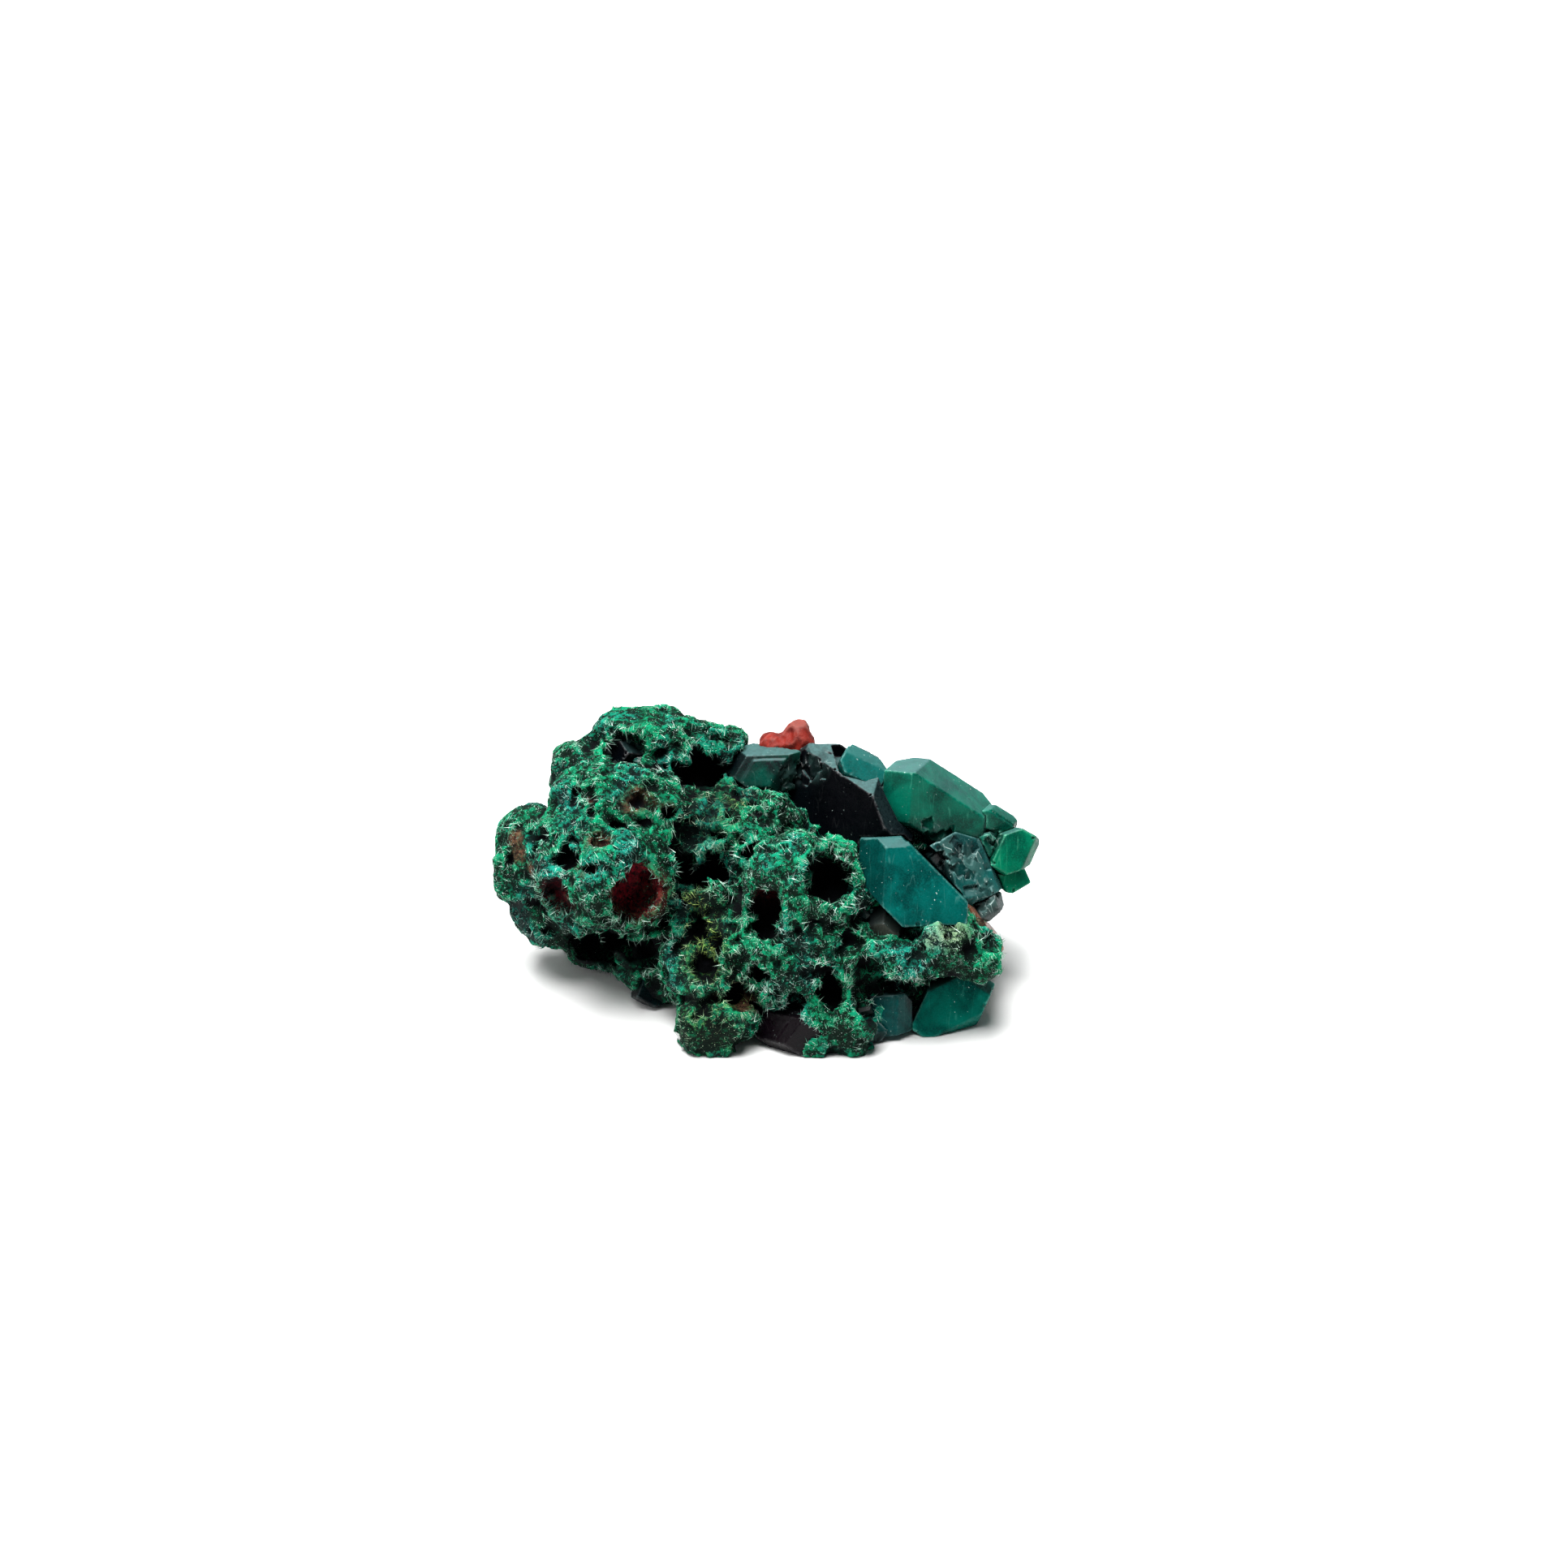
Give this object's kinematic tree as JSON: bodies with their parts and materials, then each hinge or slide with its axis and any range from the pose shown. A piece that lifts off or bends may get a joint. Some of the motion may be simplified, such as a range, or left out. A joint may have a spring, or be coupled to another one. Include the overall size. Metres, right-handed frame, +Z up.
{
  "type": "dioptase specimen on malachite matrix",
  "caption": "Free-standing mineral specimen: a pitted green matrix lump carrying blocky dark green dioptase crystals on one end and a red grain on its crest.",
  "frame": {"origin": "middle of the footprint of the bounding box, on the surface that the specimen rests on", "axes": "+X along the specimen towards its crystal end, +Y towards its back, +Z up"},
  "size_m": [0.055, 0.0292, 0.0253],
  "materials": {
    "malachite_matrix": "felted, dull to silky",
    "dioptase": "glassy",
    "cuprite": "dull, slightly glittering"
  },
  "bodies": {
    "root": {"matrix": "malachite_matrix", "crystal_ridge": "dioptase", "crystal_front": "dioptase", "crystal_cap": "dioptase", "crystal_dark": "dioptase", "crystal_crest": "dioptase", "crystal_right": "dioptase", "crystal_tip_upper": "dioptase", "crystal_tip_lower": "dioptase", "crystal_base_left": "dioptase", "crystal_base_right": "dioptase", "crystal_tip_root": "dioptase", "crystal_step": "dioptase", "crystal_shard": "dioptase", "crystal_stained": "dioptase", "crystal_grey": "dioptase", "crystal_base_small": "dioptase", "crystal_foot": "dioptase", "crystal_lower_left": "dioptase", "crystal_pocket": "dioptase", "crystal_back_upper": "dioptase", "crystal_back_right": "dioptase", "crystal_back_lower": "dioptase", "cuprite_grain": "cuprite"}
  },
  "joints": []
}
